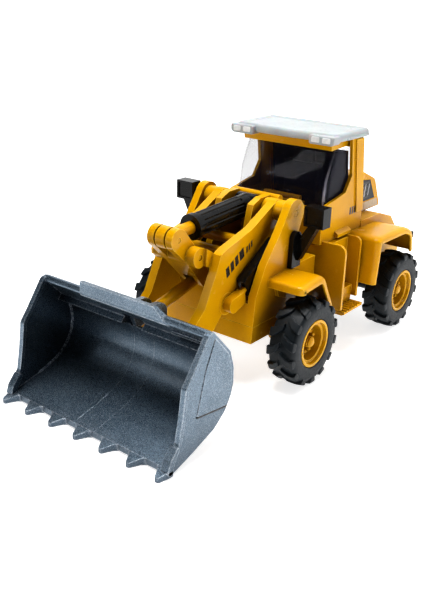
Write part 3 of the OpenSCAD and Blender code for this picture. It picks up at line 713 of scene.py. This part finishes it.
def add_controls():
    """Steering wheel and column behind the dashboard, with two side consoles."""
    bm = bmesh.new()
    column = Matrix.Translation((0, 42.5, 86.5)) @ Matrix.Rotation(math.radians(55), 4, "X")
    bmesh.ops.create_cone(bm, segments=20, radius1=0.9, radius2=0.9, depth=9, cap_ends=True, matrix=column)
    tilt = Matrix.Translation((0, 46.2, 89.4)) @ Matrix.Rotation(math.radians(-35), 4, "X")
    wheel_r, grip_r = 5.6, 0.65
    count, around = 40, 10
    rings = []
    for i in range(count):
        a = 2 * math.pi * i / count
        ring = []
        for j in range(around):
            b = 2 * math.pi * j / around
            r = wheel_r + grip_r * math.cos(b)
            ring.append(bm.verts.new(tilt @ Vector((r * math.cos(a), r * math.sin(a), grip_r * math.sin(b)))))
        rings.append(ring)
    for i in range(count):
        a, b = rings[i], rings[(i + 1) % count]
        for j in range(around):
            k = (j + 1) % around
            bm.faces.new((a[j], b[j], b[k], a[k]))
    console = rounded([(44, 71.6), (44, 83), (48, 86), (62, 86), (64, 71.6)], 2, 4)
    for side in SIDES.values():
        add_prism(bm, console, *span(side, 17, 23))
    bmesh.ops.recalc_face_normals(bm, faces=bm.faces)
    piece("cab_controls", bm, "black_plastic", "chassis", angle=40)


def add_roof():
    """Frosted roof with a raised border, lamp pods under the front corners and square lamps in them."""
    plan = [
        (-36, 75.3), (-36, 40.5), (-34.4, 35.2), (-22, 34.6), (-10, 33.4), (10, 33.4), (22, 34.6), (34.4, 35.2),
        (36, 40.5), (36, 75.3),
    ]
    radii = [2.4, 3, 2.5, 8, 8, 8, 8, 2.5, 3, 2.4]
    # height and inset of the roof's outline, from its underside over the border to the sunken field
    levels = [
        (126.4, 0.9), (126.9, 0.2), (128.4, 0.0), (129.9, 0.3), (130.8, 1.0), (131.15, 2.2), (131.1, 3.6),
        (130.5, 4.6), (130.4, 5.6),
    ]
    middle_y, half_wide, half_long = 54.5, 36, 20.6
    outline = rounded(plan, radii, 5)
    bm = bmesh.new()
    rings = []
    for z, inset in levels:
        wide, long = 1 - inset / half_wide, 1 - inset / half_long
        rings.append([bm.verts.new((x * wide, middle_y + (y - middle_y) * long, z)) for x, y in outline])
    skin(bm, rings)
    step = rounded([(48, 126.6), (48, 128.3), (73.4, 128.3), (74.4, 126.6)], 0.6, 2)
    for side in SIDES.values():
        add_prism(bm, step, *span(side, 35.2, 36.35))
    piece("roof_shell", bm, "white_plastic", "chassis", ["roof"], bevel=0.3, angle=40)

    pod = rounded([(19.6, 125.0), (19.6, 130.2), (36.2, 130.2), (36.2, 126.4), (34.6, 125.0)], 1.3, 5)
    bm = bmesh.new()
    for side in SIDES.values():
        add_prism(bm, [(side * x, z) for x, z in pod], 31.6, 40.0, "y")
    piece("roof_pods", bm, "white_plastic", "chassis", bevel=0.8, segments=3, angle=40)

    bm = bmesh.new()
    for side in SIDES.values():
        for x in (21.4, 28.6):
            lamp = rounded([(x, 126.2), (x, 129.4), (x + 5.4, 129.4), (x + 5.4, 126.2)], 0.9, 4)
            add_prism(bm, [(side * a, z) for a, z in lamp], 31.25, 33, "y")
    piece("roof_lamp_glass", bm, "white_plastic", "chassis", ["roof_lamps"], lamp_white(), bevel=0.35)


def add_fender(bm, side, path, inner_x, outer_x, lip):
    """Mudguard swept along a path of (y, z), with a rounded lip that turns down at its outer edge."""
    edge = [
        (4.0, 0.0), (2.2, -0.25), (0.8, -0.9), (0.1, -2.1), (0, -3.0), (0, -lip), (0.8, -lip - 0.3),
        (1.6, -lip), (1.9, -2.9), (3.2, -2.1),
    ]
    profile = [(inner_x, 0.0)] + [(outer_x - inset, height) for inset, height in edge] + [(inner_x, -2.0)]
    rings = []
    for i, (y, z) in enumerate(path):
        along = Vector(path[min(i + 1, len(path) - 1)]) - Vector(path[max(i - 1, 0)])
        along.normalize()
        out = Vector((-along.y, along.x))
        rings.append([bm.verts.new((side * x, y + out.x * h, z + out.y * h)) for x, h in profile])
    skin(bm, rings)


def add_fenders():
    """Both pairs of mudguards; the front ones have a web that joins them to the tower."""
    front = rounded([(-22.3, 55.5), (-22.4, 60.2), (-1.0, 61.8), (3.0, 59.4), (13.5, 41.2)],
                    [0, 3.2, 4, 4, 0], 6)
    rear = rounded([(57.5, 39.7), (60.3, 67.6), (64.0, 68.9), (98.8, 68.2), (109.6, 63.6), (112.5, 50.2)],
                   [0, 2.5, 2.5, 6, 5, 0], 5)
    web = [(-18, 57.6), (-2, 58.6), (0, 57.2), (10, 43), (10, 39), (-14, 48)]
    shapes = {"front": (front, 33.0, 55.0, 4.2), "rear": (rear, 35.0, 57.0, 4.0)}
    for side_name, side in SIDES.items():
        for end, shape in shapes.items():
            node = f"{end}_fender_{side_name}"
            bm = bmesh.new()
            add_fender(bm, side, *shape)
            if end == "front":
                add_prism(bm, web, *span(side, 33.0, 35.0))
            piece(node + "_shell", bm, "yellow_plastic", "chassis", [node], bevel=0.3)


# ---------- printed marks and a painted groove shade ---

ARM_X = 21.5             # outer face of an arm
HOOD_X = 24.75           # side of the engine hood
CAB_X = 34.5             # side of the cab
ARM_PRINT_TURN = 30.0    # the arm's slope, in degrees


def add_mark(name, shapes, x, look, body, slot, lift=0.08):
    """Thin printed shapes, or painted shade, outlines of (y, z), on the outer faces at x on both sides."""
    bm = bmesh.new()
    for side in SIDES.values():
        for outline in shapes:
            add_prism(bm, outline, *span(side, x - 0.3, x + lift))
    piece(name, bm, slot, body, look=look, angle=30)


def add_bosses():
    """Flat round bosses on the outer faces of the arms, at the bucket's pivot and the lift rod's end."""
    bm = bmesh.new()
    for side in SIDES.values():
        add_stud(bm, (side * (ARM_X - 0.2), -78.0, 31.0), side, 2.3, 0.65, 32)
        add_stud(bm, (side * (ARM_X - 0.2), -44.0, 49.5), side, 6.3, 0.5, 48)
    piece("arm_bosses", bm, "yellow_plastic", "boom", angle=30)


def turned(y, z, degrees):
    """The point (y, z) turned about the origin."""
    c, s = math.cos(math.radians(degrees)), math.sin(math.radians(degrees))
    return (y * c - z * s, y * s + z * c)


def slanted(y, z, width, height, lean, degrees=0.0):
    """Parallelogram with its foot at (y, z)."""
    points = [(0, 0), (width, 0), (width + lean, height), (lean, height)]
    moved = [turned(a, b, degrees) for a, b in points]
    return [(y + a, z + b) for a, b in moved]


def add_marks():
    """Generic stripes and panels where the toy has its printed marks, and black strips painted as the shade of
    a groove on the bucket's side plates.
    """
    black, silver = ink("black_ink_and_shade", (0.012, 0.012, 0.014)), ink("ink_silver", (0.5, 0.52, 0.55), 0.35)
    beige = ink("ink_beige", (0.62, 0.5, 0.34), 0.4)
    bars = []
    wide_bars = [(4.4 * i, width, 5.2) for i, width in enumerate((3.0, 3.0, 3.0, 4.2))]
    thin_bars = [(19.4 + 2.4 * i, 1.4, 3.2) for i in range(3)]
    for along, width, height in wide_bars + thin_bars:
        y, z = turned(along, 0, ARM_PRINT_TURN)
        bars.append(slanted(-44.5 + y, 64.0 + z, width, height, 1.6, ARM_PRINT_TURN))
    add_mark("arm_stripes", bars, ARM_X, black, "boom", "black_plastic")

    window = [(83.6, 80.0), (83.6, 94.8), (104.1, 92.2), (111.4, 80.0)]
    add_mark("hood_window", [window], HOOD_X, black, "chassis", "black_plastic", lift=0.2)
    strokes = [slanted(86.5 + 5 * i, 82.6, 1.1, 9.0 - 0.5 * i, 1.5) for i in range(4)]
    add_mark("hood_strokes", strokes, HOOD_X + 0.25, silver, "chassis", "grey_plastic")
    panels = [
        [(83.0, 73.6), (83.0, 78.6), (97.6, 78.6), (97.6, 73.6)],
        [(98.2, 73.6), (98.2, 78.6), (115.6, 78.6), (117.8, 73.6)],
    ]
    add_mark("hood_panel", panels, HOOD_X + 0.25, beige, "chassis", "grey_plastic")

    # not a print: a black strip painted as the shade of the groove on each side plate
    groove_shade = [(-111.6, 23.5), (-89.6, 20.4), (-89.6, 19.7), (-111.6, 22.8)]
    add_mark("bucket_groove_shade", [groove_shade], BUCKET_FIELD_X, black, "bucket", "black_plastic")
    label = [slanted(61.2 + 2.7 * i, 79.6, 1.7, 4.6, 0.0) for i in range(3)]
    add_mark("cab_label", label, CAB_X, black, "chassis", "black_plastic")


# ---------- CAD parts that stay ----------

DEFAULT_BEVEL = 0.35
CAD_BEVELS = {
    "bellcrank": 0.9, "tilt_rod": 0.8, "front_frame": 0.5, "arm_left": 0.5, "arm_right": 0.5, "rear_body": 0.5,
    "lift_rod_left": 0.8, "lift_rod_right": 0.8, "link": 0.6, "engine_hood": 0.7, "work_light_left": 0.5,
    "work_light_right": 0.5, "dashboard": 0.8,
}


def dress_cad():
    """Gives each CAD part the look of its node or of its material slot, and rounds its edges."""
    for row in frame["record"]["subparts"]:
        node = row["node"]
        obj = frame["nodes"][node]
        obj.data.materials.clear()
        obj.data.materials.append(NODE_LOOKS.get(node) or LOOKS[row["material_slot"]])
        weld = obj.modifiers.new("weld", "WELD")
        weld.merge_threshold = 2e-6
        flat = obj.modifiers.new("flat", "DECIMATE")
        flat.decimate_type = "DISSOLVE"
        flat.angle_limit = math.radians(0.6)
        round_edges(obj, CAD_BEVELS.get(node, DEFAULT_BEVEL))


# ---------- the scene ----------

LOOKS = {
    # the third colour is the painted edge highlight
    "yellow_plastic": moulded_plastic("amber_gloss", (0.75, 0.36, 0.001), (0.86, 0.44, 0.001),
                                      (0.98, 0.62, 0.05), 0.2),
    "black_plastic": black_plastic("black_gloss", 0.18, 0.25),
    "bucket_plastic": flake_plastic(),
    "clear_plastic": clear_glass(),
    "white_plastic": frosted_white(),
    "tyre_rubber": rubber(),
    "grey_plastic": grey_plastic(),
    "pin_steel": steel(),
}
cabin_black = black_plastic("cabin_matt", 0.7, 0.08)
NODE_LOOKS = {"cab_interior": cabin_black, "seat": cabin_black}

add_camera()
add_studio()
dress_cad()

for end in ("front", "rear"):
    for side_name in SIDES:
        add_wheel(end, side_name)

add_bucket()
add_roof()
add_fenders()
add_window()
add_controls()
add_bosses()
add_marks()
